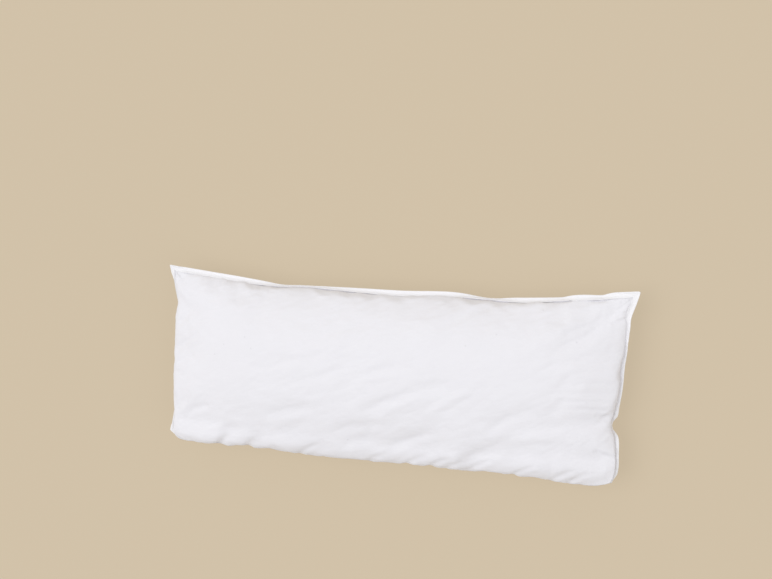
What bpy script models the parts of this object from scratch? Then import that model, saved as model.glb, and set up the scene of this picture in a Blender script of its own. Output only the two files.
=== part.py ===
"""Rectangular feather pillow with a stitched flange round its edge, lying on its back.

Units are metres. X runs along the pillow, Y across it, and Z up out of its front face.
The origin is at the centre of its box, on the surface that it lies on.
Two solids: the filled shell, and the flange that closes the seam round it.
"""

import math
from collections import namedtuple

import bmesh
import bpy
from mathutils import Vector

# The stitched flange round the seam
FLANGE_WIDTH = 0.0085
FLANGE_ROOT = 0.0022
FLANGE_THICKNESS = 0.0024
FLANGE_TIP_THICKNESS = 0.0018
SEAM_GAP = 0.0003

# Filled form: the seam's height, the crown over it and the belly under it. Each fullness is
# (power, root) of the profile along or across: a high power keeps the middle level.
SEAM_HEIGHT = 0.055
FRONT_RISE = 0.064
BACK_DROP = 0.070
BELLY_SOFTNESS = 0.006
LONG_FULLNESS = (3.5, 0.55)
SHORT_FULLNESS = (2.3, 0.60)

# Steps of the mesh along and across, and how far they crowd towards the seam
STEPS_ALONG = 64
STEPS_ACROSS = 28
CROWDING = 0.25

# How quickly a side's own line fades towards the opposite side
SIDE_FADE = 4

# Gathers at the seam: highest at their reach from it
GATHER_HEIGHT = 0.0015
GATHER_REACH = 0.024
GATHER_LENGTHS = (0.047, 0.071)

# Lumps of filling: waves that cross the pillow on a slant
LUMP_HEIGHT = 0.0016
LUMP_LENGTHS = (0.31, 0.17)
LUMP_SLANT = 0.4

# Where each panel's waves start, and how far apart its four sides' waves are, in radians
FRONT_PHASE = 0.4
BACK_PHASE = 4.1
SIDE_PHASE = 1.3

# The front panel rolls over its seam most at this distance from it, and less over the
# last share of a side, next to its corners
ROLL_REACH = 0.0125
ROLL_FADE = 1 / 6

# Folds and gathers fade out where the form is thinner than this share of its crown
THIN_SHARE = 1 / 3

# The stitch line, side by side. along: place on the side. out: distance from the middle.
# lift: height over SEAM_HEIGHT. lean: the flange's slope towards the front, in degrees.
# roll: how far the front panel swells over the seam.
Row = namedtuple("Row", "along out lift lean roll")
TOP = (
    Row(-0.4405, 0.1660, 0.002, 8, 0.000),
    Row(-0.398, 0.1615, 0.001, 12, 0.000),
    Row(-0.323, 0.1540, 0.000, 12, 0.001),
    Row(-0.262, 0.1468, -0.001, -10, 0.002),
    Row(-0.225, 0.1446, -0.001, -40, 0.003),
    Row(-0.177, 0.1472, -0.001, -55, 0.003),
    Row(-0.082, 0.1450, 0.001, -20, 0.002),
    Row(0.011, 0.1452, 0.002, 6, 0.001),
    Row(0.100, 0.1486, 0.001, 4, 0.002),
    Row(0.183, 0.1456, -0.001, -52, 0.002),
    Row(0.240, 0.1462, 0.000, -6, 0.002),
    Row(0.318, 0.1536, 0.001, -26, 0.001),
    Row(0.344, 0.1586, 0.003, 12, 0.001),
    Row(0.387, 0.1606, 0.000, -18, 0.000),
    Row(0.408, 0.1662, 0.002, 14, 0.000),
    Row(0.4405, 0.1698, 0.003, 16, 0.000),
)
BOTTOM = (
    Row(-0.4405, 0.1500, 0.000, -22, 0.000),
    Row(-0.430, 0.1600, -0.001, -60, 0.001),
    Row(-0.412, 0.1650, -0.002, -78, 0.003),
    Row(-0.340, 0.1632, -0.002, -80, 0.006),
    Row(-0.245, 0.1618, -0.001, -80, 0.007),
    Row(-0.150, 0.1665, -0.002, -82, 0.007),
    Row(-0.010, 0.1665, -0.002, -80, 0.008),
    Row(0.040, 0.1640, -0.001, -82, 0.007),
    Row(0.147, 0.1670, -0.001, -82, 0.007),
    Row(0.215, 0.1648, -0.002, -80, 0.007),
    Row(0.280, 0.1678, -0.002, -80, 0.007),
    Row(0.345, 0.1732, -0.002, -78, 0.006),
    Row(0.390, 0.1732, -0.001, -70, 0.004),
    Row(0.4155, 0.1690, 0.000, -55, 0.002),
)
LEFT = (
    Row(-0.1500, 0.4405, 0.000, -22, 0.000),
    Row(-0.1260, 0.4350, 0.001, -36, 0.001),
    Row(-0.1080, 0.4325, 0.000, -44, 0.002),
    Row(-0.0900, 0.4355, -0.001, -44, 0.002),
    Row(-0.0550, 0.4340, 0.001, -40, 0.002),
    Row(0.0000, 0.4330, 0.000, -38, 0.002),
    Row(0.0450, 0.4325, 0.001, -16, 0.002),
    Row(0.0780, 0.4320, 0.000, -34, 0.002),
    Row(0.0960, 0.4290, -0.002, -46, 0.001),
    Row(0.1180, 0.4315, 0.000, -30, 0.001),
    Row(0.1660, 0.4405, 0.002, 8, 0.000),
)
RIGHT = (
    Row(-0.1690, 0.4155, 0.000, -55, 0.002),
    Row(-0.1500, 0.4205, 0.000, -22, 0.003),
    Row(-0.1150, 0.4200, 0.001, -12, 0.004),
    Row(-0.0860, 0.4175, 0.000, -24, 0.003),
    Row(-0.0660, 0.4060, -0.003, -66, 0.001),
    Row(-0.0500, 0.4125, -0.001, -30, 0.002),
    Row(0.0000, 0.4205, 0.001, -10, 0.004),
    Row(0.0550, 0.4235, 0.001, -4, 0.003),
    Row(0.0760, 0.4290, 0.002, 42, 0.001),
    Row(0.1100, 0.4320, 0.001, 48, 0.000),
    Row(0.1340, 0.4310, 0.000, 34, 0.000),
    Row(0.1698, 0.4405, 0.003, 16, 0.000),
)

# Soft folds pressed into the front face. bow: how far the fold's middle is off its chord.
# width: from the trough's bottom to its shoulder. FOLD_TAPER says how suddenly its ends
# run out, and FOLD_HOOK how much steeper one side is than the other.
FOLD_TAPER = 12
FOLD_HOOK = 0.35
Fold = namedtuple("Fold", "x0 y0 x1 y1 bow width depth")
FRONT_FOLDS = (
    Fold(-0.060, -0.105, 0.135, 0.000, -0.010, 0.015, 0.0048),
    Fold(-0.220, -0.095, -0.100, -0.068, -0.006, 0.018, 0.0034),
    Fold(-0.190, -0.012, -0.030, 0.032, -0.006, 0.013, 0.0028),
    Fold(-0.140, -0.040, 0.070, 0.020, -0.008, 0.012, 0.0026),
    Fold(0.000, -0.160, 0.110, -0.075, -0.008, 0.013, 0.0042),
    Fold(0.120, -0.150, 0.250, -0.078, -0.008, 0.016, 0.0044),
    Fold(-0.130, -0.150, -0.020, -0.105, -0.004, 0.013, 0.0036),
    Fold(0.240, -0.068, 0.330, -0.070, 0.004, 0.014, 0.0034),
    Fold(0.300, -0.058, 0.405, -0.066, 0.006, 0.008, 0.0044),
    Fold(0.310, 0.060, 0.400, 0.140, -0.006, 0.013, 0.0034),
    Fold(0.345, -0.118, 0.408, -0.128, -0.005, 0.008, 0.0036),
    Fold(-0.415, -0.110, -0.365, -0.085, -0.003, 0.009, 0.0026),
    Fold(-0.420, 0.030, -0.380, 0.085, 0.004, 0.009, 0.0026),
)
BACK_FOLDS = (
    Fold(-0.330, 0.115, -0.230, 0.075, 0.006, 0.013, 0.0036),
    Fold(0.150, 0.120, 0.260, 0.085, 0.006, 0.014, 0.0036),
    Fold(-0.360, -0.060, -0.400, -0.120, 0.005, 0.011, 0.0030),
    Fold(0.340, -0.060, 0.395, -0.110, -0.005, 0.011, 0.0030),
)

# Bottom edge: hooked pleats where the cloth was pressed against the seam
PLEAT_PLACES = (-0.330, -0.265, -0.150, -0.095, -0.030, 0.060, 0.145, 0.225, 0.300)
PLEAT_RUN = (0.030, 0.030)
PLEAT_BOW = 0.004
PLEAT_WIDTH = 0.009
PLEAT_DEPTH = 0.0040


def eased(rows, column, along):
    """A smooth curve through one column of a side's table, read at a place on the side."""
    last = len(rows) - 1
    k = 0
    while k < last - 1 and rows[k + 1].along < along:
        k += 1
    near, far = rows[k], rows[k + 1]
    before, after = rows[max(k - 1, 0)], rows[min(k + 2, last)]
    span = far.along - near.along
    t = (along - near.along) / span
    value = [getattr(r, column) for r in (before, near, far, after)]
    slope_in = (value[2] - value[0]) / (far.along - before.along) * span
    slope_out = (value[3] - value[1]) / (after.along - near.along) * span
    return (
        value[1] * (2 * t**3 - 3 * t**2 + 1)
        + value[2] * (3 * t**2 - 2 * t**3)
        + slope_in * (t**3 - 2 * t**2 + t)
        + slope_out * (t**3 - t**2)
    )


def at_share(rows, share):
    """The place on a side for a share from -1 to 1 of its length."""
    return rows[0].along + (rows[-1].along - rows[0].along) * (share + 1) / 2


def side_line(side, share):
    """Stitch line of a side at a share from -1 to 1 of its length: x, y and height."""
    along = at_share(side, share)
    out = eased(side, "out", along)
    x, y = {
        id(TOP): (along, out),
        id(BOTTOM): (along, -out),
        id(LEFT): (-out, along),
        id(RIGHT): (out, along),
    }[id(side)]
    return Vector((x, y, SEAM_HEIGHT + eased(side, "lift", along)))


def crowded(step, steps):
    """Share from -1 to 1 of a mesh line, closer together near both ends."""
    even = 2 * step / steps - 1
    return even * (1 + CROWDING) - CROWDING * even**3


def seam_surface(p, q):
    """The four stitch lines carried into the shell, as the unfilled sheet between them."""
    low_left, low_right = side_line(BOTTOM, -1), side_line(BOTTOM, 1)
    high_left, high_right = side_line(TOP, -1), side_line(TOP, 1)
    u, v = (p + 1) / 2, (q + 1) / 2
    point = low_left.lerp(low_right, u).lerp(high_left.lerp(high_right, u), v)
    for side, share, nearness, start, end in (
        (TOP, p, v, high_left, high_right),
        (BOTTOM, p, 1 - v, low_left, low_right),
        (LEFT, q, 1 - u, low_left, high_left),
        (RIGHT, q, u, low_right, high_right),
    ):
        straight = start.lerp(end, (share + 1) / 2)
        point += (side_line(side, share) - straight) * nearness**SIDE_FADE
    return point


def fullness(share, shape):
    """Height of the filled form at a share of the half width: 1 in the middle, 0 at the seam."""
    power, root = shape
    return max(0.0, 1 - abs(share) ** power) ** root


def swell(distance, reach):
    """0 at the seam, 1 at reach from it, and fading away beyond."""
    return distance / reach * math.exp(1 - distance / reach)


def seam_distances(p, q):
    """Each side with the share along it and the rough distance in from its seam."""
    half_long, half_wide = TOP[-1].along, TOP[0].out
    return (
        (TOP, p, (1 - q) * half_wide),
        (BOTTOM, p, (1 + q) * half_wide),
        (LEFT, q, (1 + p) * half_long),
        (RIGHT, q, (1 - p) * half_long),
    )


def rolled(p, q):
    """How far a front point is moved outwards in x and y, where its panel rolls over the seam."""
    shift = {}
    for side, share, distance in seam_distances(p, q):
        fade = min(1.0, (1 - abs(share)) / ROLL_FADE)
        roll = eased(side, "roll", at_share(side, share))
        shift[id(side)] = roll * fade * swell(distance, ROLL_REACH)
    return shift[id(RIGHT)] - shift[id(LEFT)], shift[id(TOP)] - shift[id(BOTTOM)]


def fold_depth(fold, x, y):
    """Depth of one fold at a plan position: a soft trough along a bowed line."""
    dx, dy = fold.x1 - fold.x0, fold.y1 - fold.y0
    length = math.hypot(dx, dy)
    along = ((x - fold.x0) * dx + (y - fold.y0) * dy) / length**2
    across = ((y - fold.y0) * dx - (x - fold.x0) * dy) / length
    across -= fold.bow * 4 * along * (1 - along)
    ends = 1 / (1 + math.exp(-FOLD_TAPER * along)) / (1 + math.exp(FOLD_TAPER * (along - 1)))
    ratio = across / fold.width
    return fold.depth * ends * math.exp(-(ratio**2)) * (1 - FOLD_HOOK * ratio)


def pleats():
    """The hooked pleats of the bottom edge, as folds."""
    run, rise = PLEAT_RUN
    for place in PLEAT_PLACES:
        foot = -eased(BOTTOM, "out", place) + PLEAT_WIDTH
        yield Fold(place, foot, place + run, foot + rise, PLEAT_BOW, PLEAT_WIDTH, PLEAT_DEPTH)


def ripple(place, lengths, phase):
    """An uneven wave from -1 to 1, mixed from two lengths."""
    first, second = (math.sin(2 * math.pi * place / length + phase) for length in lengths)
    return (first + second) / 2


def gathers(p, q, x, y, phase):
    """Small puckers that stand square to the seam and fade out into the face."""
    height = 0.0
    for k, (side, _, distance) in enumerate(seam_distances(p, q)):
        place = y if side in (LEFT, RIGHT) else x
        wave = ripple(place, GATHER_LENGTHS, phase + k * SIDE_PHASE)
        height += GATHER_HEIGHT * swell(distance, GATHER_REACH) * wave
    return height


def lumps(x, y, phase):
    """Slow unevenness of the loose filling."""
    wave = ripple(x + LUMP_SLANT * y, LUMP_LENGTHS, phase)
    return LUMP_HEIGHT * wave * math.cos(2 * math.pi * y / LUMP_LENGTHS[0] + phase)


def crown(p, q):
    """Height of the filled form from 0 at the seam to 1 in the middle."""
    return fullness(p, LONG_FULLNESS) * fullness(q, SHORT_FULLNESS)


def front_point(p, q):
    """A point of the front panel."""
    x, y, seam = seam_surface(p, q)
    full = crown(p, q)
    z = seam + FLANGE_THICKNESS / 2 + FRONT_RISE * full
    folds = sum(fold_depth(fold, x, y) for fold in (*FRONT_FOLDS, *pleats()))
    z += (gathers(p, q, x, y, FRONT_PHASE) - folds) * min(1.0, full / THIN_SHARE)
    z += lumps(x, y, FRONT_PHASE) * full
    shift_x, shift_y = rolled(p, q)
    return x + shift_x, y + shift_y, z


def on_the_floor(z):
    """Height of the belly, flat where it meets the floor and easing into that flat."""
    if z <= -BELLY_SOFTNESS:
        return 0.0
    if z < BELLY_SOFTNESS:
        return (z + BELLY_SOFTNESS) ** 2 / (4 * BELLY_SOFTNESS)
    return z


def back_point(p, q):
    """A point of the back panel, flattened where the pillow lies on it."""
    x, y, seam = seam_surface(p, q)
    full = crown(p, q)
    z = seam - FLANGE_THICKNESS / 2 - BACK_DROP * full
    folds = sum(fold_depth(fold, x, y) for fold in BACK_FOLDS)
    z += (gathers(p, q, x, y, BACK_PHASE) + folds) * min(1.0, full / THIN_SHARE)
    return x, y, on_the_floor(z)


def panel(bm, point):
    """Adds one panel as a grid, with its vertices placed by point(p, q)."""
    made = bmesh.ops.create_grid(bm, x_segments=STEPS_ALONG, y_segments=STEPS_ACROSS, size=1)
    for vertex in made["verts"]:
        column = round((vertex.co.x + 1) / 2 * STEPS_ALONG)
        row = round((vertex.co.y + 1) / 2 * STEPS_ACROSS)
        vertex.co = point(crowded(column, STEPS_ALONG), crowded(row, STEPS_ACROSS))


def shell_mesh():
    """Front and back panels, joined round the seam by a wall as high as the flange."""
    bm = bmesh.new()
    panel(bm, front_point)
    panel(bm, back_point)
    rims = [edge for edge in bm.edges if edge.is_boundary]
    bmesh.ops.bridge_loops(bm, edges=rims)
    bmesh.ops.recalc_face_normals(bm, faces=bm.faces)
    mesh = bpy.data.meshes.new("filled_shell")
    bm.to_mesh(mesh)
    bm.free()
    return mesh


def stitch_line():
    """The seam's corners in order round the pillow, each with its place and its lean."""
    along = [crowded(k, STEPS_ALONG) for k in range(STEPS_ALONG + 1)]
    across = [crowded(k, STEPS_ACROSS) for k in range(STEPS_ACROSS + 1)]
    walk = [(p, -1, BOTTOM, p) for p in along[:-1]]
    walk += [(1, q, RIGHT, q) for q in across[:-1]]
    walk += [(p, 1, TOP, p) for p in reversed(along[1:])]
    walk += [(-1, q, LEFT, q) for q in reversed(across[1:])]
    line = []
    for p, q, side, share in walk:
        lean = math.radians(eased(side, "lean", at_share(side, share)))
        line.append((*seam_surface(p, q), lean))
    return line


def outward(line, k):
    """Direction out of the seam at a corner of it, long enough to keep the offset parallel."""
    here, before, after = line[k], line[k - 1], line[(k + 1) % len(line)]
    normals = []
    for start, end in ((before, here), (here, after)):
        dx, dy = end[0] - start[0], end[1] - start[1]
        length = math.hypot(dx, dy)
        normals.append((dy / length, -dx / length))
    (ax, ay), (bx, by) = normals
    scale = 1 / (1 + ax * bx + ay * by)
    return (ax + bx) * scale, (ay + by) * scale


def flange_section(lean):
    """Cross-section of the flange as (out, up) pairs: a flat root, then the leaning strip."""
    reach = FLANGE_WIDTH - FLANGE_ROOT
    out, up = math.cos(lean), math.sin(lean)
    half_out, half_up = math.cos(lean / 2), math.sin(lean / 2)
    thick, thin = FLANGE_THICKNESS / 2, FLANGE_TIP_THICKNESS / 2
    tip = (FLANGE_ROOT + reach * out, reach * up)
    return (
        (0, thick),
        (FLANGE_ROOT - thick * half_up, thick * half_out),
        (tip[0] - thin * up, tip[1] + thin * out),
        (tip[0] + thin * up, tip[1] - thin * out),
        (FLANGE_ROOT + thick * half_up, -thick * half_out),
        (0, -thick),
    )


def flange_mesh():
    """A ring whose sections follow the stitch line, a hair outside the shell."""
    line = stitch_line()
    sides = len(flange_section(0))
    bpy.ops.mesh.primitive_torus_add(major_segments=len(line), minor_segments=sides)
    ring = bpy.context.object
    for k, (x, y, z, lean) in enumerate(line):
        nx, ny = outward(line, k)
        for j, (out, up) in enumerate(flange_section(lean)):
            far = out + SEAM_GAP
            ring.data.vertices[k * sides + j].co = (x + nx * far, y + ny * far, z + up)
    mesh = ring.data
    bpy.data.objects.remove(ring)
    bm = bmesh.new()
    bm.from_mesh(mesh)
    bmesh.ops.recalc_face_normals(bm, faces=bm.faces)
    bm.to_mesh(mesh)
    bm.free()
    return mesh


def cotton(name, colour, roughness):
    """Matt woven cotton."""
    material = bpy.data.materials.new(name)
    material.use_nodes = True
    shader = material.node_tree.nodes["Principled BSDF"]
    shader.inputs["Base Color"].default_value = (*colour, 1)
    shader.inputs["Roughness"].default_value = roughness
    shader.inputs["Metallic"].default_value = 0
    return material


def centred(meshes):
    """Moves the meshes together so that their common box is centred over the origin."""
    points = [vertex.co for mesh in meshes for vertex in mesh.vertices]
    for axis in (0, 1):
        low = min(point[axis] for point in points)
        high = max(point[axis] for point in points)
        for point in points:
            point[axis] -= (low + high) / 2


def add_part(collection, name, mesh, material):
    """Links one solid under its node's name, shaded smooth apart from its seam edges."""
    mesh.name = name
    mesh.shade_smooth()
    mesh.set_sharp_from_angle(angle=math.radians(50))
    mesh.materials.clear()
    mesh.materials.append(material)
    collection.objects.link(bpy.data.objects.new(name, mesh))


def main():
    for old in list(bpy.data.objects):
        bpy.data.objects.remove(old)
    collection = bpy.data.collections.new("feather_pillow")
    bpy.context.scene.collection.children.link(collection)
    shell, flange = shell_mesh(), flange_mesh()
    centred((shell, flange))
    add_part(collection, "filled_shell", shell, cotton("shell_cotton", (0.85, 0.84, 0.88), 0.9))
    add_part(collection, "edge_flange", flange, cotton("flange_cotton", (0.88, 0.87, 0.90), 0.85))


main()
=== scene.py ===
"""Looks of a long feather pillow: simulated cotton shell, stitched flange, floor, light and camera.

Everything is in metres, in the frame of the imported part. X runs along the pillow, Y across
it and Z out of its front face. The shell and the flange take their shape from the frame.
"""

import math
from collections import namedtuple

import bmesh
import bpy
import numpy as np
from mathutils import Matrix, Vector, noise


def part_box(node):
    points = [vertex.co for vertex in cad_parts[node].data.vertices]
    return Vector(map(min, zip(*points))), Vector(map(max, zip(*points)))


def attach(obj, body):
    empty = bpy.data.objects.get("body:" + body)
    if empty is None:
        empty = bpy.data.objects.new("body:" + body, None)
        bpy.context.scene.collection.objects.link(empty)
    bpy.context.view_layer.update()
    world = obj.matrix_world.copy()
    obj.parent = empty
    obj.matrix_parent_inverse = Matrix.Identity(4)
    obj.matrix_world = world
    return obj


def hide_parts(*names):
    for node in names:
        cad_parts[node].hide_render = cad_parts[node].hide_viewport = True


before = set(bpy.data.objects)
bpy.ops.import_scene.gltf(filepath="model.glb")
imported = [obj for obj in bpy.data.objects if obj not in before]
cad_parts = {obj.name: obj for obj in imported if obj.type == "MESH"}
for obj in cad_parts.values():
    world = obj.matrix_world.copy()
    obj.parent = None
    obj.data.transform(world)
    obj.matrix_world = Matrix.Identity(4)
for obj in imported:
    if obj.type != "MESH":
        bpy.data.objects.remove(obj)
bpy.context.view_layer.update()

SHELL_NODE = "filled_shell"
FLANGE_NODE = "edge_flange"
SEAM_HEIGHT = sum(corner.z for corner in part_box(FLANGE_NODE)) / 2

# Vertices closer than this are one vertex that the frame stores once for each face
WELD = 1e-5
SHARP_ANGLE = math.radians(50)

# These keep a division by a length safe where the length is zero
LEAST_MOVE = 1e-9
LEAST_WAY = 1e-5

# Points of one flange section: digits that tell its column from the next, and how far behind
# the root, ahead of it and beside the section's line they may lie
COLUMN_DIGITS = 5
SECTION_BEHIND = 0.001
SECTION_AHEAD = 0.018
SECTION_BESIDE = 3e-5

# Cloth: steps and pressure, extra material at the seam and how far that reaches
SIM_FRAMES = 24
SIM_PRESSURE = 0.5
SEAM_EXCESS = 0.06
EXCESS_REACH = 0.020

# How far a point may move in the simulation, the share of that which is left at the seam, and
# how far from the seam it is whole again
MOST_MOVE = 0.004
SEAM_CALM = 0.35
CALM_REACH = 0.030

# Points this near the stitch line, or this low, are held
HELD_REACH = 0.0025
ON_THE_FLOOR = 0.0005

# Flange: its section by share of its width, with half its thickness there and what the
# filling adds to it where it swells into the seam
FLANGE_PROFILE = (
    (-0.10, 0.00117, 0.0048),
    (0.02, 0.00118, 0.0040),
    (0.10, 0.00108, 0.0032),
    (0.17, 0.00090, 0.0025),
    (0.22, 0.00102, 0.0019),
    (0.32, 0.00126, 0.0010),
    (0.43, 0.00124, 0.0004),
    (0.52, 0.00104, 0.0001),
    (0.57, 0.00084, 0),
    (0.62, 0.00102, 0),
    (0.72, 0.00114, 0),
    (0.84, 0.00106, 0),
    (0.93, 0.00086, 0),
    (0.985, 0.00045, 0),
)
STITCH_SHARES = (0.17, 0.57)
RING_STEP = 0.0015

# Rounds of averaging that round the tip's corners and smooth the flange's directions
CORNER_PASSES = 1
DIRECTION_PASSES = 3

# The flange waves a little at two sizes, its hem is roped at a slant, and both grow from the
# root to this share of the width
FLANGE_WAVE = 0.00035
FLANGE_WAVE_SIZES = (0.05, 0.014)
HEM_ROPE = 0.00016
HEM_ROPE_PITCH = 0.0085
HEM_ROPE_SLANT = 0.9
HEM_FREE_SHARE = 0.6

# The lap where the flange's ends join: where it starts, how long it is and how thick
JOIN_START = (0.329, 0.158)
JOIN_LENGTH = 0.011
JOIN_STEP = 0.0005

# Stitches: distance between two, the size of the thread on top, and its rings from end to end
# by their place and their share of the radius
STITCH_PITCH = 0.0032
STITCH_LENGTH = 0.0023
STITCH_RADIUS = 0.00019
STITCH_SIDES = 5
STITCH_RINGS = ((-1.0, 0.0), (-0.8, 0.7), (-0.3, 1.0), (0.3, 1.0), (0.8, 0.7), (1.0, 0.0))

# Folds of the front by their two ends, bow, half width and depth; a depth below zero is a ridge
Fold = namedtuple("Fold", "x0 y0 x1 y1 bow width depth")
FOLDS = (
    Fold(-0.262, -0.010, -0.092, 0.036, 0.004, 0.010, 0.0018),
    Fold(-0.157, 0.010, -0.042, 0.043, -0.003, 0.008, 0.0014),
    Fold(-0.122, -0.008, 0.000, 0.037, 0.004, 0.008, 0.0017),
    Fold(-0.075, -0.013, 0.052, 0.023, 0.005, 0.009, 0.0020),
    Fold(-0.042, -0.079, 0.121, -0.005, 0.010, 0.011, 0.0036),
    Fold(-0.233, -0.096, -0.133, -0.070, 0.004, 0.012, 0.0027),
    Fold(-0.099, -0.115, 0.002, -0.089, 0.005, 0.010, 0.0023),
    Fold(0.001, -0.150, 0.102, -0.093, 0.006, 0.009, 0.0027),
    Fold(0.193, -0.089, 0.282, -0.040, 0.006, 0.010, 0.0025),
    Fold(0.100, -0.055, 0.168, -0.014, 0.004, 0.008, -0.0020),
    Fold(0.238, -0.102, 0.337, -0.089, 0.003, 0.009, -0.0020),
    Fold(0.342, 0.030, 0.312, -0.004, 0.003, 0.009, 0.0014),
    Fold(0.336, -0.016, 0.300, -0.044, 0.003, 0.009, 0.0014),
    Fold(0.360, 0.100, 0.426, 0.152, -0.003, 0.006, 0.0027),
    Fold(0.325, 0.098, 0.392, 0.134, -0.003, 0.006, 0.0020),
    Fold(0.300, 0.062, 0.405, 0.112, 0.004, 0.007, 0.0017),
    Fold(0.280, 0.026, 0.415, 0.070, 0.006, 0.008, 0.0014),
    Fold(0.425, -0.124, 0.385, -0.112, 0.001, 0.005, 0.0025),
    Fold(0.442, 0.146, 0.412, 0.134, 0.000, 0.004, 0.0023),
    Fold(0.438, 0.132, 0.404, 0.120, 0.000, 0.004, 0.0021),
    Fold(0.330, 0.008, 0.425, 0.012, 0.002, 0.004, 0.0010),
    Fold(0.300, -0.008, 0.420, -0.009, 0.002, 0.004, 0.0013),
    Fold(0.315, -0.021, 0.420, -0.023, 0.001, 0.004, 0.0013),
    Fold(0.335, -0.034, 0.418, -0.037, 0.001, 0.004, 0.0013),
    Fold(0.345, 0.045, 0.425, 0.052, 0.002, 0.004, 0.0010),
    Fold(0.384, -0.046, 0.422, -0.060, 0.002, 0.005, 0.0030),
    Fold(-0.432, 0.010, -0.372, 0.050, 0.002, 0.006, 0.0031),
    Fold(-0.430, -0.017, -0.383, 0.005, 0.002, 0.006, 0.0029),
    Fold(-0.432, 0.050, -0.392, 0.092, 0.003, 0.007, 0.0027),
    Fold(-0.405, -0.113, -0.352, -0.087, 0.003, 0.007, 0.0027),
    Fold(-0.438, 0.143, -0.415, 0.154, 0.001, 0.003, 0.0017),
    Fold(-0.236, 0.150, -0.250, 0.110, 0.003, 0.006, 0.0008),
    Fold(-0.075, 0.150, -0.100, 0.112, 0.003, 0.006, 0.0009),
    Fold(-0.030, 0.150, -0.052, 0.118, 0.003, 0.006, 0.0008),
    Fold(0.022, 0.152, -0.002, 0.120, 0.003, 0.006, 0.0008),
    Fold(-0.186, -0.182, -0.126, -0.142, 0.003, 0.0045, 0.0023),
    Fold(-0.050, -0.184, 0.008, -0.148, 0.003, 0.0045, 0.0020),
    Fold(0.018, -0.186, 0.080, -0.146, 0.003, 0.0045, 0.0025),
    Fold(0.066, -0.184, 0.128, -0.144, 0.003, 0.0045, 0.0025),
    Fold(0.102, -0.182, 0.152, -0.150, 0.003, 0.0045, 0.0018),
    Fold(0.142, -0.182, 0.206, -0.142, 0.003, 0.0045, 0.0025),
    Fold(0.222, -0.184, 0.286, -0.144, 0.003, 0.0045, 0.0025),
    Fold(0.296, -0.186, 0.352, -0.150, 0.003, 0.0045, 0.0021),
    Fold(0.332, -0.186, 0.382, -0.152, 0.003, 0.0045, 0.0021),
    Fold(-0.345, -0.182, -0.312, -0.146, 0.003, 0.007, 0.0034),
    Fold(-0.290, -0.184, -0.254, -0.148, 0.003, 0.007, 0.0034),
)

# The lip beside each fold: its share of the depth, and its place in half widths
LIP_SHARE = 0.4
LIP_PLACE = 1.5

# Crinkles that run up to the right: length, width and height of each size, how sharp they
# are, and how far apart in the noise two sizes lie
CRINKLE_ANGLE = math.radians(24)
CRINKLES = ((0.070, 0.020, 0.00070), (0.036, 0.010, 0.00050), (0.022, 0.006, 0.00030))
CRINKLE_SHARPNESS = 3
CRINKLE_OFFSET = 10

# The crinkles' strength: its mean, its swing, and the size and place of the calm patches
CALM_MEAN = 0.55
CALM_SWING = 0.9
CALM_SIZE = 0.11
CALM_OFFSET = Vector((3, 1, 7))

# Gathers along the seam: width and length of one, height, how far they reach into the panel
# and where they end, the finer ones in them, and what makes the back's differ from the front's
GATHER_WIDTH = 0.013
GATHER_LENGTH = 0.05
GATHER_HEIGHT = 0.0006
GATHER_REACH = 0.014
GATHER_END = 4 * GATHER_REACH
FINER_SCALE = 2.1
FINER_SHARE = 0.6
BACK_OFFSET = 5.0

# Where the front's folds start above the seam and how they fade in, and how folds and gathers
# fade in away from the seam and above the floor
FOLD_START = 0.003
FOLD_FADE = 0.006
SEAM_FADE = 0.006
FLOOR_FADE = 0.004

# Quill tips that press through the cotton, by their place on the face
SPECKS = (
    (-0.316, 0.036),
    (-0.335, 0.015),
    (-0.273, 0.053),
    (-0.259, 0.033),
    (0.205, 0.091),
    (0.283, 0.137),
    (0.151, 0.068),
    (0.347, 0.085),
    (-0.070, -0.128),
)
SPECK_RADIUS = 0.0024
SPECK_HEIGHT = 0.0004
SPECK_SHADE = 0.93

# By side: how far the front rolls out over the seam, how far the flange leans back, how far
# it reaches and how much the filling swells into the seam. Spots add to these near a place.
Spot = namedtuple("Spot", "x y reach amount")
ROLL_OVER = {"top": 0.0014, "bottom": 0.0070, "left": 0.0056, "right": 0.0048}
ROLL_SPOTS = (
    Spot(-0.452, -0.165, 0.030, 0.0006),
    Spot(-0.452, 0.165, 0.030, 0.0010),
    Spot(0.425, -0.172, 0.040, 0.0055),
    Spot(0.412, -0.068, 0.018, 0.0030),
    Spot(0.433, 0.120, 0.045, -0.0026),
)

# The roll grows over the first distance from the seam, fades over the second, and fades in
# over the third above the seam. Sections within about the last one give a point its way out
ROLL_RISE = 0.005
ROLL_REACH = 0.040
FRONT_FADE = 0.003
OUT_REACH = 0.014

# The filling sinks towards the lower edge and swells the front there: how much, where along
# Y, how wide, and how it fades in away from the seam
BELLY_HEIGHT = 0.0075
BELLY_Y = -0.149
BELLY_WIDTH = 0.018
BELLY_FADE = 0.020

# The lean is an angle in radians, the other two are shares
FLANGE_LEAN = {"top": 0.0, "bottom": 0.75, "left": 0.62, "right": 0.0}
LEAN_SPOTS = (
    Spot(-0.452, -0.165, 0.030, -0.68),
    Spot(-0.450, 0.175, 0.024, -0.55),
    Spot(0.421, 0.010, 0.052, -0.20),
    Spot(0.425, -0.130, 0.035, -0.20),
    Spot(0.425, -0.176, 0.020, 0.60),
)
FLANGE_REACH = {"top": 1.0, "bottom": 1.0, "left": 1.0, "right": 1.02}
REACH_SPOTS = (
    Spot(0.440, 0.150, 0.040, 0.20),
    Spot(0.416, -0.056, 0.018, 0.45),
)
SEAM_FILL = {"top": 1.0, "bottom": 0.0, "left": 1.0, "right": 0.0}
FILL_SPOTS = (
    Spot(0.433, 0.120, 0.050, 1.0),
    Spot(-0.440, -0.170, 0.050, 1.0),
)

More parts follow.
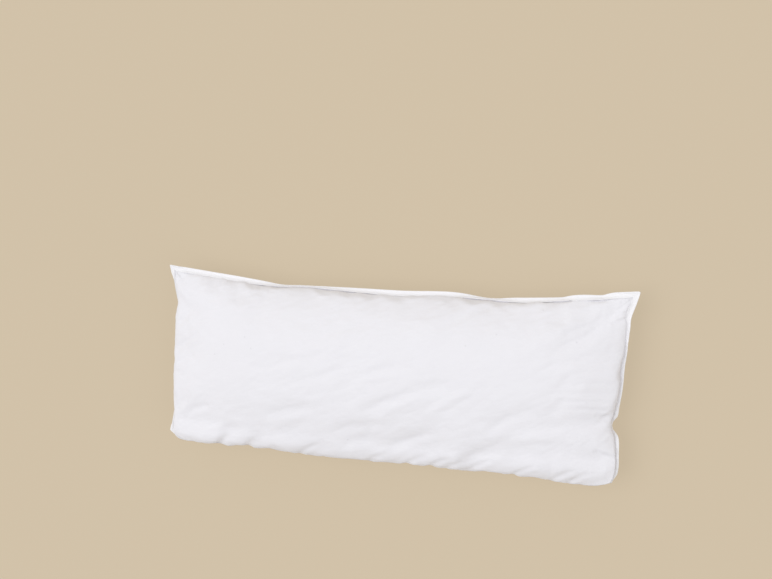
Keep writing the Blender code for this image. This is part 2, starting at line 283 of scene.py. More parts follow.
# Rounds of averaging that blend one side into the next, and how much less the filling
# swells near a corner
TURN_PASSES = 60
CORNER_CALM = 0.85
CORNER_REACH = 0.010

# Cotton and thread: colours, how much the colour varies, depth of the small creases,
# roughness and sheen
SHELL_COLOUR = (0.835, 0.825, 0.862)
# The flange's cotton is lighter than the shell's: painted light, for the light that its edge catches
FLANGE_LIT_COLOUR = (0.895, 0.885, 0.91)
THREAD_COLOUR = (0.86, 0.85, 0.88)
SHELL_CLOUDY = 0.02
FLANGE_CLOUDY = 0.015
SHELL_CRUMPLE = 0.0010
FLANGE_CRUMPLE = 0.0003
COTTON_ROUGHNESS = 0.88
COTTON_SHEEN = 0.12
THREAD_ROUGHNESS = 0.7
THREAD_SHEEN = 0.1

# Cloudiness and small creases: how fine, how detailed and how stretched
CLOUD_SCALE = 14
CLOUD_DETAIL = 3
CREASE_SCALE = 110
CREASE_DETAIL = 5
CREASE_STRETCH = (3, 1, 1)

# Weave: distance between threads, that of the second set as a share, height and strength.
# At scale 1 the wave texture has one band in each period
THREAD_PITCH = 0.00042
SECOND_PITCH_SHARE = 0.9
THREAD_HEIGHT = 0.00006
THREAD_STRENGTH = 0.5
WAVE_PERIOD = math.pi / 10

# Fine gathers in the material: width, length, height, and how far they reach
FINE_GATHER = 0.0045
FINE_GATHER_LENGTH = 0.05
FINE_GATHER_HEIGHT = 0.0022
FINE_GATHER_REACH = 0.010


def frame_mesh(node):
    """A CAD node's mesh as a bmesh, welded and with its quads restored."""
    bm = bmesh.new()
    bm.from_mesh(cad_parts[node].data)
    bmesh.ops.remove_doubles(bm, verts=bm.verts, dist=WELD)
    bmesh.ops.join_triangles(
        bm, faces=bm.faces, angle_face_threshold=math.pi, angle_shape_threshold=math.pi
    )
    return bm


def new_object(name, mesh):
    piece = bpy.data.objects.new(name, mesh)
    bpy.context.scene.collection.objects.link(piece)
    return piece


def coordinates(mesh):
    co = np.empty(len(mesh.vertices) * 3, np.float32)
    mesh.vertices.foreach_get("co", co)
    return co.reshape(-1, 3).astype(float)


def set_coordinates(mesh, co):
    mesh.vertices.foreach_set("co", co.astype(np.float32).ravel())
    mesh.update()


def averaged(rail, passes):
    """A closed rail with each point drawn towards its neighbours."""
    for _ in range(passes):
        rail = (np.roll(rail, 1, axis=0) + 2 * rail + np.roll(rail, -1, axis=0)) / 4
    return rail


def smooth_step(share):
    """A share from 0 to 1 that starts and ends gently."""
    return share * share * (3 - 2 * share)


def unit(vectors):
    return vectors / np.linalg.norm(vectors, axis=1)[:, None]


def apply_modifiers(piece):
    graph = bpy.context.evaluated_depsgraph_get()
    graph.update()
    mesh = bpy.data.meshes.new_from_object(piece.evaluated_get(graph))
    piece.modifiers.clear()
    piece.data = mesh


def subdivide(piece):
    """One Catmull-Clark step, applied."""
    modifier = piece.modifiers.new("finer", "SUBSURF")
    modifier.levels = modifier.render_levels = 1
    apply_modifiers(piece)


# The stitch line, read from the flange's node

Section = namedtuple("Section", "root bend tip out")


def flange_sections():
    """The flange's sections in order round the pillow, from its node's six-cornered ring."""
    bm = frame_mesh(FLANGE_NODE)
    points = [vertex.co.copy() for vertex in bm.verts]
    bm.free()
    columns = {}
    for point in points:
        place = (round(point.x, COLUMN_DIGITS), round(point.y, COLUMN_DIGITS))
        columns.setdefault(place, []).append(point)
    roots = [(pair[0] + pair[1]) / 2 for pair in columns.values() if len(pair) == 2]
    _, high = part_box(FLANGE_NODE)
    roots.sort(key=lambda r: math.atan2(r.y / high.y, r.x / high.x))
    sections = []
    for k, root in enumerate(roots):
        normals = []
        for start, end in ((roots[k - 1], root), (root, roots[(k + 1) % len(roots)])):
            step = end - start
            normals.append(Vector((step.y, -step.x, 0)).normalized())
        out = (normals[0] + normals[1]).normalized()
        on_line = []
        for point in points:
            away = point - root
            ahead = away.dot(out)
            beside = (away - out * ahead).to_2d().length
            if -SECTION_BEHIND < ahead < SECTION_AHEAD and beside < SECTION_BESIDE:
                on_line.append((away.length, point))
        on_line.sort(key=lambda pair: pair[0])
        ring = [point for _, point in on_line]
        bend, tip = (ring[2] + ring[3]) / 2, (ring[4] + ring[5]) / 2
        sections.append(Section(root, bend, tip, out))
    return sections


def build_shell():
    """The shell: the CAD form, refined, gathered and filled by a cloth simulation."""
    bm = frame_mesh(SHELL_NODE)
    crease = bm.edges.layers.float.new("crease_edge")
    for edge in bm.edges:
        if len(edge.link_faces) == 2 and edge.calc_face_angle() > SHARP_ANGLE:
            edge[crease] = 1.0
    sharp = bm.verts.layers.float.new("crease_vert")
    for corner in (SECTIONS[place].root for place in corner_places(SECTIONS)):
        min(bm.verts, key=lambda vertex: (vertex.co - corner).length)[sharp] = 1.0
    mesh = bpy.data.meshes.new("pillow_shell")
    bm.to_mesh(mesh)
    bm.free()
    shell = new_object("pillow_shell", mesh)
    subdivide(shell)
    simulate(shell)
    subdivide(shell)
    lay_folds(shell)
    shell.data.shade_smooth()
    return shell


def seam_distance(co, line):
    """Each point's distance from the stitch line and its place along the line.

    The place is mirrored half way round, so that it has no jump where the line starts.
    """
    ring = np.array([tuple(section.root) for section in line])
    best = np.full(len(co), np.inf)
    along = np.zeros(len(co))
    travelled = 0
    for k, start in enumerate(ring):
        span = ring[(k + 1) % len(ring)] - start
        share = np.clip(((co - start) @ span) / (span @ span), 0, 1)
        distance = np.linalg.norm(co - start - share[:, None] * span, axis=1)
        closer = distance < best
        along[closer] = travelled + share[closer] * np.linalg.norm(span)
        best = np.minimum(best, distance)
        travelled += np.linalg.norm(span)
    return best, np.maximum(along, travelled - along)


def by_side(out, amounts):
    """An amount given for each side, blended by the outward direction of each point."""
    weights = {
        "top": np.clip(out[:, 1], 0, 1) ** 2,
        "bottom": np.clip(-out[:, 1], 0, 1) ** 2,
        "left": np.clip(-out[:, 0], 0, 1) ** 2,
        "right": np.clip(out[:, 0], 0, 1) ** 2,
    }
    return sum(weights[side] * amount for side, amount in amounts.items())


def by_place(co, out, amounts, spots):
    """An amount given by side, with what the spots near each point add."""
    total = by_side(out, amounts)
    for spot in spots:
        away = np.hypot(co[:, 0] - spot.x, co[:, 1] - spot.y)
        total = total + spot.amount * np.exp(-(away / spot.reach) ** 2)
    return total


def simulate(shell):
    """Gathers the shell at its seam and lets the filling push it out."""
    start = coordinates(shell.data)
    distance, _ = seam_distance(start, SECTIONS)
    held = shell.vertex_groups.new(name="held")
    plain = shell.vertex_groups.new(name="plain")
    for index, (point, away) in enumerate(zip(start, distance)):
        if away < HELD_REACH or point[2] < ON_THE_FLOOR:
            held.add([index], 1.0, "REPLACE")
        plain.add([index], 1.0 - math.exp(-away / EXCESS_REACH), "REPLACE")
    cloth = shell.modifiers.new("cloth", "CLOTH")
    settings = cloth.settings
    settings.quality = 8
    settings.mass = 0.01
    settings.tension_stiffness = 40
    settings.compression_stiffness = 40
    settings.shear_stiffness = 10
    settings.bending_stiffness = 0.01
    settings.tension_damping = 1
    settings.compression_damping = 1
    settings.shear_damping = 1
    settings.vertex_group_mass = held.name
    settings.vertex_group_shrink = plain.name
    settings.shrink_min = -SEAM_EXCESS
    settings.shrink_max = 0
    settings.use_pressure = True
    settings.uniform_pressure_force = SIM_PRESSURE
    settings.effector_weights.gravity = 0
    cloth.collision_settings.use_collision = False
    cloth.point_cache.frame_end = SIM_FRAMES
    scene = bpy.context.scene
    for step in range(1, SIM_FRAMES + 1):
        scene.frame_set(step)
    apply_modifiers(shell)
    scene.frame_set(1)
    moved = coordinates(shell.data) - start
    length = np.linalg.norm(moved, axis=1)
    scale = MOST_MOVE * np.tanh(length / MOST_MOVE) / np.maximum(length, LEAST_MOVE)
    scale *= SEAM_CALM + (1 - SEAM_CALM) * np.clip(distance / CALM_REACH, 0, 1)
    co = start + moved * scale[:, None]
    co[:, 2] = np.maximum(co[:, 2], 0)
    set_coordinates(shell.data, co)


# Folds and crinkles laid into the simulated shell

def normals(mesh):
    values = np.empty(len(mesh.vertices) * 3, np.float32)
    mesh.vertices.foreach_get("normal", values)
    return values.reshape(-1, 3).astype(float)


def fold_depth(x, y, fold):
    """How deep one fold lies at each point, with the lip that stands up beside it."""
    long, high = fold.x1 - fold.x0, fold.y1 - fold.y0
    length = math.hypot(long, high)
    along = ((x - fold.x0) * long + (y - fold.y0) * high) / length ** 2
    across = ((y - fold.y0) * long - (x - fold.x0) * high) / length
    inside = np.clip(4 * along * (1 - along), 0, None)
    across = across - fold.bow * inside
    groove = np.exp(-(across / fold.width) ** 2)
    lip = np.exp(-(across / fold.width + LIP_PLACE) ** 2)
    return fold.depth * (groove - LIP_SHARE * lip) * np.sqrt(inside)


def crinkle_height(co):
    """Small creases of the woven cotton, sharper along one direction, calm in patches."""
    cos, sin = math.cos(CRINKLE_ANGLE), math.sin(CRINKLE_ANGLE)
    along = co[:, 0] * cos + co[:, 1] * sin
    across = co[:, 1] * cos - co[:, 0] * sin
    height = np.zeros(len(co))
    for index, (a, b, z) in enumerate(zip(along, across, co[:, 2])):
        patch = noise.noise(Vector((a, b, z)) / CALM_SIZE + CALM_OFFSET)
        calm = CALM_MEAN + CALM_SWING * patch
        for size, (long, wide, high) in enumerate(CRINKLES):
            wave = noise.noise(Vector((a / long, b / wide, z / long + CRINKLE_OFFSET * size)))
            height[index] += high * calm * (1 - CRINKLE_SHARPNESS * abs(wave))
    return height


def outward(co):
    """The way out from each point, from the sections near it; short where they disagree."""
    roots = np.array([tuple(section.root.xy) for section in SECTIONS])
    outs = np.array([tuple(section.out) for section in SECTIONS])
    flat = co[:, :2]
    square = (flat ** 2).sum(axis=1)[:, None] + (roots ** 2).sum(axis=1) - 2 * flat @ roots.T
    nearness = np.exp((square.min(axis=1, keepdims=True) - square) / (2 * OUT_REACH ** 2))
    return nearness @ outs / nearness.sum(axis=1, keepdims=True)


def rolled_out(co, distance):
    """How far each point of the front moves out over the seam."""
    outs = outward(co)
    length = np.linalg.norm(outs, axis=1)[:, None] + LEAST_WAY
    amount = by_place(co, outs / length, ROLL_OVER, ROLL_SPOTS)
    ahead = distance - HELD_REACH
    rise = np.clip(ahead / ROLL_RISE, 0, 1)
    fall = np.clip(1 - (ahead - ROLL_RISE) / ROLL_REACH, 0, 1)
    share = smooth_step(rise) * smooth_step(fall)
    front = np.clip((co[:, 2] - SEAM_HEIGHT) / FRONT_FADE, 0, 1)
    moved = outs * (amount * share * front)[:, None]
    belly = BELLY_HEIGHT * np.exp(-((co[:, 1] - BELLY_Y) / BELLY_WIDTH) ** 2)
    moved[:, 2] += belly * np.clip(distance / BELLY_FADE, 0, 1) * front
    return moved


def gather_height(distance, along, z):
    """Small pleats that start at the seam and fade out into the panel."""
    side = np.where(z > SEAM_HEIGHT, 0.0, BACK_OFFSET)
    height = np.zeros(len(distance))
    for index in np.flatnonzero(distance < GATHER_END):
        place = Vector((along[index] / GATHER_WIDTH, distance[index] / GATHER_LENGTH, side[index]))
        wave = noise.noise(place) + FINER_SHARE * noise.noise(place * FINER_SCALE)
        height[index] = GATHER_HEIGHT * wave * math.exp(-distance[index] / GATHER_REACH)
    return height


def keep_seam_places(mesh, distance, along):
    """Stores what the material reads to draw its fine gathers."""
    for name, values in (("seam_distance", distance), ("seam_along", along)):
        attribute = mesh.attributes.new(name, "FLOAT", "POINT")
        attribute.data.foreach_set("value", values.astype(np.float32))


def lay_folds(shell):
    """Rolls the front out over the seam and lays folds, gathers and crinkles into the shell."""
    co = coordinates(shell.data)
    distance, along = seam_distance(co, SECTIONS)
    co += rolled_out(co, distance)
    set_coordinates(shell.data, co)
    out = normals(shell.data)
    front = np.clip((co[:, 2] - SEAM_HEIGHT - FOLD_START) / FOLD_FADE, 0, 1)
    depth = sum(fold_depth(co[:, 0], co[:, 1], fold) for fold in FOLDS)
    near_seam = np.clip((distance - HELD_REACH) / SEAM_FADE, 0, 1)
    off_floor = np.clip(co[:, 2] / FLOOR_FADE, 0, 1)
    height = crinkle_height(co) + gather_height(distance, along, co[:, 2])
    height = height * off_floor - depth * front
    co += out * (height * near_seam)[:, None]
    co[:, 2] = np.maximum(co[:, 2], 0)
    set_coordinates(shell.data, co)
    keep_seam_places(shell.data, distance, along)


# The flange, drawn from the frame's sections at a finer step

def corner_places(line):
    """Places of the four sections where the stitch line turns a corner, in order."""
    turns = []
    for k, section in enumerate(line):
        before = section.root - line[k - 1].root
        after = line[(k + 1) % len(line)].root - section.root
        turns.append(before.angle(after))
    return sorted(sorted(range(len(line)), key=lambda k: -turns[k])[:4])


def smooth_run(points, places):
    """A Catmull-Rom curve through an open run of points, read at the given places."""
    first, last = 2 * points[0] - points[1], 2 * points[-1] - points[-2]
    run = np.vstack((first, points, last))
    k = np.clip(np.floor(places).astype(int), 0, len(points) - 2)
    t = (places - k)[:, None]
    p0, p1, p2, p3 = (run[k + n] for n in range(4))
    square = (2 * p0 - 5 * p1 + 4 * p2 - p3) * t ** 2
    cube = (3 * p1 - p0 - 3 * p2 + p3) * t ** 3
    return 0.5 * (2 * p1 + (p2 - p0) * t + square + cube)


def flange_rails(line):
    """Root, bend and tip of the flange as three closed runs of points at an even step."""
    lines = [np.array([tuple(section[part]) for section in line]) for part in range(3)]
    corners = corner_places(line)
    rails = [[], [], []]
    for start, end in zip(corners, corners[1:] + [corners[0] + len(line)]):
        run = np.arange(start, end + 1) % len(line)
        steps = np.linalg.norm(np.diff(lines[0][run], axis=0), axis=1)
        travelled = np.concatenate(([0], np.cumsum(steps)))
        count = round(travelled[-1] / RING_STEP)
        places = np.interp(np.arange(count) / count * travelled[-1], travelled, np.arange(len(run)))
        for rail, points in zip(rails, lines):
            rail.append(smooth_run(points[run], places))
    root, bend, tip = (np.concatenate(rail) for rail in rails)
    return root, bend, averaged(tip, CORNER_PASSES)


def near_corner(points):
    """How near each point is to a corner of the stitch line, from 0 to 1."""
    corners = [SECTIONS[place].root for place in corner_places(SECTIONS)]
    away = np.min([np.hypot(points[:, 0] - c.x, points[:, 1] - c.y) for c in corners], axis=0)
    return np.exp(-(away / CORNER_REACH) ** 2)


def travelled_along(rail):
    """Distance from the start of a closed rail to each of its points."""
    steps = np.linalg.norm(np.diff(rail, axis=0), axis=1)
    return np.concatenate(([0], np.cumsum(steps)))


def join_bump(rail):
    """Extra half thickness where the hem's ends lap over each other."""
    start = np.argmin(np.linalg.norm(rail[:, :2] - np.array(JOIN_START), axis=1))
    away = travelled_along(rail)
    ahead = away[start] - away
    return JOIN_STEP * ((ahead > 0) & (ahead < JOIN_LENGTH))


def centre_line(rails, middle, share):
    """The flange's centre at a share of its width, through root, bend and tip."""
    at_root = (share - middle) * (share - 1) / middle
    at_bend = share * (share - 1) / (middle * (middle - 1))
    at_tip = share * (share - middle) / (1 - middle)
    return rails[0] * at_root + rails[1] * at_bend + rails[2] * at_tip


def leant_back(vectors, up, out, angle):
    """Vectors at each place turned about the seam, from outwards towards the back."""
    axis = unit(np.cross(up, out))
    cos, sin = np.cos(angle)[:, None], np.sin(angle)[:, None]
    along_axis = np.sum(axis * vectors, axis=1)[:, None]
    return vectors * cos + np.cross(axis, vectors) * sin + axis * along_axis * (1 - cos)


def flange_faces(line):
    """Both faces of the flange as columns of points, and the directions along and up."""
    rails = flange_rails(line)
    root, bend, tip = rails
    along = averaged(unit(np.roll(root, -1, axis=0) - np.roll(root, 1, axis=0)), DIRECTION_PASSES)
    out = averaged(unit(tip - root), DIRECTION_PASSES)
    up = unit(np.cross(along, out))
    up *= np.sign(up[:, 2:3])
    turned = unit(averaged(out, TURN_PASSES))
    angle = by_place(root, turned, FLANGE_LEAN, LEAN_SPOTS)
    reach = by_place(root, turned, FLANGE_REACH, REACH_SPOTS)[:, None]
    fill = np.clip(by_place(root, turned, SEAM_FILL, FILL_SPOTS), 0, 1)
    fill = fill * (1 - CORNER_CALM * near_corner(root))
    leant_up = leant_back(up, up, out, angle)
    inner = np.linalg.norm(bend - root, axis=1)
    middle = np.median(inner / (inner + np.linalg.norm(tip - bend, axis=1)))
    lap = join_bump(root)
    travelled = travelled_along(root)
    wave = np.array([
        sum(noise.noise(Vector(point) / size) for size in FLANGE_WAVE_SIZES) for point in root
    ])
    upper, lower = [], []
    for share, half, swollen in FLANGE_PROFILE:
        away = (centre_line(rails, middle, share) - root) * reach
        centre = root + leant_back(away, up, out, angle)
        rope = np.sin(2 * math.pi * (travelled / HEM_ROPE_PITCH + HEM_ROPE_SLANT * share))
        loose = min(max(share, 0) / HEM_FREE_SHARE, 1)
        lift = (FLANGE_WAVE * wave + HEM_ROPE * rope) * loose
        thick = half + swollen * fill
        upper.append(centre + leant_up * (lift + thick + lap)[:, None])
        lower.append(centre + leant_up * (lift - thick)[:, None])
    return upper, lower, along, leant_up


def grid_mesh(name, columns):
    """A closed skin over columns of points, each column closed on itself."""
    count, points = len(columns), len(columns[0])
    co = np.stack(columns, axis=1).reshape(-1, 3)
    ring, column = np.meshgrid(np.arange(points), np.arange(count), indexing="ij")
    after, beside = (ring + 1) % points, (column + 1) % count
    quads = np.stack(
        (ring * count + column, after * count + column, after * count + beside, ring * count + beside),
        axis=-1,
    )
    mesh = bpy.data.meshes.new(name)
    mesh.from_pydata(co.tolist(), [], quads.reshape(-1, 4).tolist())
    mesh.validate()
    mesh.shade_smooth()
    return mesh


def face_outwards(mesh):
    bm = bmesh.new()
    bm.from_mesh(mesh)
    bmesh.ops.recalc_face_normals(bm, faces=bm.faces)
    bm.to_mesh(mesh)
    bm.free()


def build_flange(upper, lower):
    mesh = grid_mesh("stitched_flange", upper + lower[::-1])
    face_outwards(mesh)
    return new_object("stitched_flange", mesh)


def stitch_points(face, along, up, side):
    """The corners of every stitch of one row, as an array of stitches by points by 3."""
    travelled = travelled_along(face)
    middle = np.arange(STITCH_PITCH / 2, travelled[-1], STITCH_PITCH)
    place, forward, out = (
        np.stack([np.interp(middle, travelled, values[:, axis]) for axis in range(3)], axis=1)
        for values in (face, along, up * side)
    )
    across = np.cross(forward, out)
    points = []
    for run, size in STITCH_RINGS:
        ahead = forward * run * STITCH_LENGTH / 2
        for corner in range(STITCH_SIDES if size else 1):
            turn = 2 * math.pi * corner / STITCH_SIDES
            wide = across * math.cos(turn) + out * math.sin(turn)
            points.append(place + ahead + wide * STITCH_RADIUS * size)
    return np.stack(points, axis=1)


def stitch_faces():
    """The faces of one stitch: a fan at each end and bands of quads between."""
    last = (len(STITCH_RINGS) - 3) * STITCH_SIDES + 1
    faces = []
    for corner in range(STITCH_SIDES):
        after = (corner + 1) % STITCH_SIDES
        faces.append((0, 1 + after, 1 + corner))
        for start in range(1, last, STITCH_SIDES):
            ahead = start + STITCH_SIDES
            faces.append((start + corner, start + after, ahead + after, ahead + corner))
        faces.append((last + corner, last + after, last + STITCH_SIDES))
    return faces


def build_stitching(upper, lower, along, up):
    """The thread of both rows of stitches, on both faces of the flange."""
    points, faces = [], []
    shares = [row[0] for row in FLANGE_PROFILE]
    shape = stitch_faces()
    for share in STITCH_SHARES:
        for columns, side in ((upper, 1), (lower, -1)):
            for stitch in stitch_points(columns[shares.index(share)], along, up, side):
                base = len(points)
                points.extend(stitch.tolist())
                faces.extend(tuple(base + k for k in face) for face in shape)
    mesh = bpy.data.meshes.new("flange_stitching")
    mesh.from_pydata(points, [], faces)
    mesh.shade_smooth()
    face_outwards(mesh)
    return new_object("flange_stitching", mesh)


# Materials

def new_material(name, colour, roughness, sheen):
    material = bpy.data.materials.new(name)
    material.use_nodes = True
    shader = material.node_tree.nodes["Principled BSDF"]
    shader.inputs["Base Color"].default_value = (*colour, 1)
    shader.inputs["Roughness"].default_value = roughness
    shader.inputs["Sheen Weight"].default_value = sheen
    return material


def add_noise(tree, scale, detail, stretch=None, turn=0.0):
    """A noise texture in object space, stretched along a direction in the face."""
    place = tree.nodes.new("ShaderNodeTexCoord")
    mapping = tree.nodes.new("ShaderNodeMapping")
    mapping.vector_type = "TEXTURE"
    mapping.inputs["Rotation"].default_value = (0, 0, turn)
    mapping.inputs["Scale"].default_value = stretch or (1, 1, 1)
    texture = tree.nodes.new("ShaderNodeTexNoise")
    texture.inputs["Scale"].default_value = scale
    texture.inputs["Detail"].default_value = detail
    tree.links.new(place.outputs["Object"], mapping.inputs["Vector"])
    tree.links.new(mapping.outputs["Vector"], texture.inputs["Vector"])
    return texture.outputs["Fac"]


def add_threads(tree, pitch, axis):
    """The height of the threads that run across one axis of the face."""
    place = tree.nodes.new("ShaderNodeTexCoord")
    texture = tree.nodes.new("ShaderNodeTexWave")
    texture.bands_direction = axis
    texture.inputs["Scale"].default_value = WAVE_PERIOD / pitch
    texture.inputs["Distortion"].default_value = 1.5
    texture.inputs["Detail"].default_value = 1
    texture.inputs["Detail Scale"].default_value = 0.4
    tree.links.new(place.outputs["Object"], texture.inputs["Vector"])
    return texture.outputs["Fac"]


def add_bump(tree, height, distance, strength, normal=None):
    bump = tree.nodes.new("ShaderNodeBump")
    bump.inputs["Distance"].default_value = distance
    bump.inputs["Strength"].default_value = strength
    tree.links.new(height, bump.inputs["Height"])
    if normal:
        tree.links.new(normal, bump.inputs["Normal"])
    return bump.outputs["Normal"]


def blended(tree, factor, first, second):
    """A mix of two colours, each a socket or a plain colour."""
    mix = tree.nodes.new("ShaderNodeMix")
    mix.data_type = "RGBA"
    for socket, colour in ((mix.inputs["A"], first), (mix.inputs["B"], second)):
        if isinstance(colour, tuple):
            socket.default_value = (*colour, 1)
        else:
            tree.links.new(colour, socket)
    tree.links.new(factor, mix.inputs["Factor"])
    return mix.outputs["Result"]


def math_node(tree, operation, first, second):
    """A math node of two values, each a socket or a number."""
    node = tree.nodes.new("ShaderNodeMath")
    node.operation = operation
    for socket, value in zip(node.inputs, (first, second)):
        if isinstance(value, (int, float)):
            socket.default_value = value
        else:
            tree.links.new(value, socket)
    return node.outputs["Value"]


def add_gathers(tree):
    """Fine gathers that run off the seam, drawn by the distance along it and away from it."""
    distance, along = (tree.nodes.new("ShaderNodeAttribute") for _ in range(2))
    distance.attribute_name = "seam_distance"
    along.attribute_name = "seam_along"
    place = tree.nodes.new("ShaderNodeCombineXYZ")
    for source, size, target in ((along, FINE_GATHER, "X"), (distance, FINE_GATHER_LENGTH, "Y")):
        scaled = math_node(tree, "MULTIPLY", source.outputs["Fac"], 1 / size)
        tree.links.new(scaled, place.inputs[target])
    texture = tree.nodes.new("ShaderNodeTexNoise")
    texture.inputs["Scale"].default_value = 1
    texture.inputs["Detail"].default_value = 2
    tree.links.new(place.outputs["Vector"], texture.inputs["Vector"])
    fade = math_node(tree, "MULTIPLY", distance.outputs["Fac"], -1 / FINE_GATHER_REACH)
    fade = math_node(tree, "EXPONENT", fade, 0)
    return math_node(tree, "MULTIPLY", texture.outputs["Fac"], fade)


def add_specks(tree):
    """A soft dot, from 0 to 1, at each place where a quill tip presses through."""
    place = tree.nodes.new("ShaderNodeTexCoord")
    flat = tree.nodes.new("ShaderNodeVectorMath")
    flat.operation = "MULTIPLY"
    flat.inputs[1].default_value = (1, 1, 0)
    tree.links.new(place.outputs["Object"], flat.inputs[0])
    dots = 0
    for x, y in SPECKS:
        away = tree.nodes.new("ShaderNodeVectorMath")
        away.operation = "DISTANCE"
        away.inputs[1].default_value = (x, y, 0)
        tree.links.new(flat.outputs["Vector"], away.inputs[0])
        dot = tree.nodes.new("ShaderNodeMapRange")
        dot.interpolation_type = "SMOOTHSTEP"
        dot.inputs["From Max"].default_value = SPECK_RADIUS
        dot.inputs["To Min"].default_value = 1
        dot.inputs["To Max"].default_value = 0
        tree.links.new(away.outputs["Value"], dot.inputs["Value"])
        dots = math_node(tree, "MAXIMUM", dot.outputs["Result"], dots)
    return dots


def cotton(name, colour, cloudy, crumple, stuffed=False):
    """Closely woven matt cotton: threads, small creases, faint cloudiness and a little sheen."""
    material = new_material(name, colour, COTTON_ROUGHNESS, COTTON_SHEEN)
    tree = material.node_tree
    shader = tree.nodes["Principled BSDF"]
    light = tuple(min(1, part * (1 + cloudy)) for part in colour)
    dark = tuple(part * (1 - cloudy) for part in colour)
    tint = blended(tree, add_noise(tree, CLOUD_SCALE, CLOUD_DETAIL), dark, light)
    creases = add_noise(tree, CREASE_SCALE, CREASE_DETAIL, CREASE_STRETCH, CRINKLE_ANGLE)
    normal = add_bump(tree, creases, crumple, 1)
    if stuffed:
        specks = add_specks(tree)
        normal = add_bump(tree, specks, SPECK_HEIGHT, 1, normal)
        normal = add_bump(tree, add_gathers(tree), FINE_GATHER_HEIGHT, 1, normal)
        tint = blended(tree, specks, tint, tuple(part * SPECK_SHADE for part in dark))
    for pitch, axis in ((THREAD_PITCH, "X"), (THREAD_PITCH * SECOND_PITCH_SHARE, "Y")):
        threads = add_threads(tree, pitch, axis)
        normal = add_bump(tree, threads, THREAD_HEIGHT, THREAD_STRENGTH, normal)
    tree.links.new(tint, shader.inputs["Base Color"])
    tree.links.new(normal, shader.inputs["Normal"])
    return material


def build_floor():
    """A pale plain table that gives off most of its colour, so that its shadows stay faint."""
    bpy.ops.mesh.primitive_plane_add(size=FLOOR_SIZE)
    floor = bpy.context.object
    floor.name = "floor"
    colour = tuple(part * (1 - FLOOR_GLOW) for part in FLOOR_COLOUR)
    material = new_material("floor", colour, FLOOR_ROUGHNESS, 0)
    shader = material.node_tree.nodes["Principled BSDF"]
    shader.inputs["Specular IOR Level"].default_value = FLOOR_GLOSS
    shader.inputs["Emission Color"].default_value = (*FLOOR_COLOUR, 1)
    shader.inputs["Emission Strength"].default_value = FLOOR_GLOW
    floor.data.materials.append(material)


# Camera, in the photo's view of the face
CAMERA_TARGET = Vector((-0.0161, 0.1530, SEAM_HEIGHT))
CAMERA_AZIMUTH = math.radians(15.52)
CAMERA_ELEVATION = math.radians(6.98)
CAMERA_ROLL = math.radians(1.79)
CAMERA_DISTANCE = 2.603
CAMERA_LENS = 65.3

# Light: a wide soft lamp from the left and mostly from the front, a weak one from the right,
# and a pale surround that is darker where it faces the lower edge
KEY_FROM = Vector((-0.50, 0.08, 1.0))
KEY_WIDTH = math.radians(48)
KEY_STRENGTH = 1.19
FILL_FROM = Vector((1.0, -0.3, 0.8))
FILL_WIDTH = math.radians(40)
FILL_STRENGTH = 0.31
SURROUND_STRENGTH = 0.69
SURROUND_BELOW = 0.25
SURROUND_FADE = (-0.95, -0.55)

# Floor: its side, its colour, and the share of that which it gives off by itself
FLOOR_SIZE = 14
FLOOR_COLOUR = (0.633, 0.531, 0.391)
FLOOR_GLOW = 0.75
FLOOR_ROUGHNESS = 0.95
FLOOR_GLOSS = 0.1


def build_camera():
    back = Vector((
        math.sin(CAMERA_AZIMUTH) * math.cos(CAMERA_ELEVATION),
        math.sin(CAMERA_ELEVATION),
        math.cos(CAMERA_AZIMUTH) * math.cos(CAMERA_ELEVATION),
    ))
    right = Vector((0, 1, 0)).cross(back).normalized()
    axes = Matrix((right, back.cross(right), back)).transposed().to_4x4()
    data = bpy.data.cameras.new("camera")
    data.lens = CAMERA_LENS
    data.sensor_width = 36
    camera = bpy.data.objects.new("camera", data)
    bpy.context.scene.collection.objects.link(camera)
    place = Matrix.Translation(CAMERA_TARGET + back * CAMERA_DISTANCE)
    camera.matrix_world = place @ axes @ Matrix.Rotation(CAMERA_ROLL, 4, "Z")
    bpy.context.scene.camera = camera


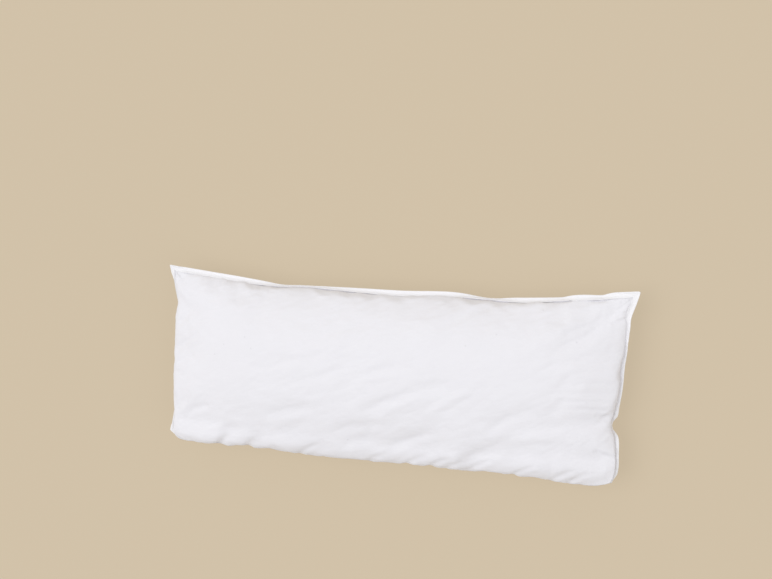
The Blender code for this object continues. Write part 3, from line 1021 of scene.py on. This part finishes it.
def sun_light(name, place, width, strength):
    data = bpy.data.lights.new(name, "SUN")
    data.energy = strength
    data.angle = width
    lamp = bpy.data.objects.new(name, data)
    lamp.rotation_euler = place.to_track_quat("Z", "Y").to_euler()
    bpy.context.scene.collection.objects.link(lamp)


def build_light():
    """The two lamps and the surround."""
    sun_light("key", KEY_FROM, KEY_WIDTH, KEY_STRENGTH)
    sun_light("fill", FILL_FROM, FILL_WIDTH, FILL_STRENGTH)
    world = bpy.data.worlds.new("world")
    world.use_nodes = True
    background = world.node_tree.nodes["Background"]
    background.inputs["Strength"].default_value = SURROUND_STRENGTH
    tree = world.node_tree
    place = tree.nodes.new("ShaderNodeTexCoord")
    axes = tree.nodes.new("ShaderNodeSeparateXYZ")
    tree.links.new(place.outputs["Generated"], axes.inputs["Vector"])
    fade = tree.nodes.new("ShaderNodeMapRange")
    fade.interpolation_type = "SMOOTHSTEP"
    fade.inputs["From Min"].default_value, fade.inputs["From Max"].default_value = SURROUND_FADE
    fade.inputs["To Min"].default_value = SURROUND_BELOW
    tree.links.new(axes.outputs["Y"], fade.inputs["Value"])
    tree.links.new(fade.outputs["Result"], background.inputs["Color"])
    bpy.context.scene.world = world
    bpy.context.scene.view_settings.view_transform = "Standard"


SECTIONS = flange_sections()
build_camera()
build_light()
build_floor()

shell_cotton = cotton("shell_cotton", SHELL_COLOUR, SHELL_CLOUDY, SHELL_CRUMPLE, stuffed=True)
shell = build_shell()
shell.data.materials.clear()
shell.data.materials.append(shell_cotton)
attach(shell, "root")
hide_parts(SHELL_NODE)

UPPER, LOWER, ALONG, UP = flange_faces(SECTIONS)
flange = build_flange(UPPER, LOWER)
flange.data.materials.append(cotton("flange_cotton", FLANGE_LIT_COLOUR, FLANGE_CLOUDY, FLANGE_CRUMPLE))
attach(flange, "root")
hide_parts(FLANGE_NODE)

stitching = build_stitching(UPPER, LOWER, ALONG, UP)
stitching.data.materials.append(new_material("thread", THREAD_COLOUR, THREAD_ROUGHNESS, THREAD_SHEEN))
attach(stitching, "root")
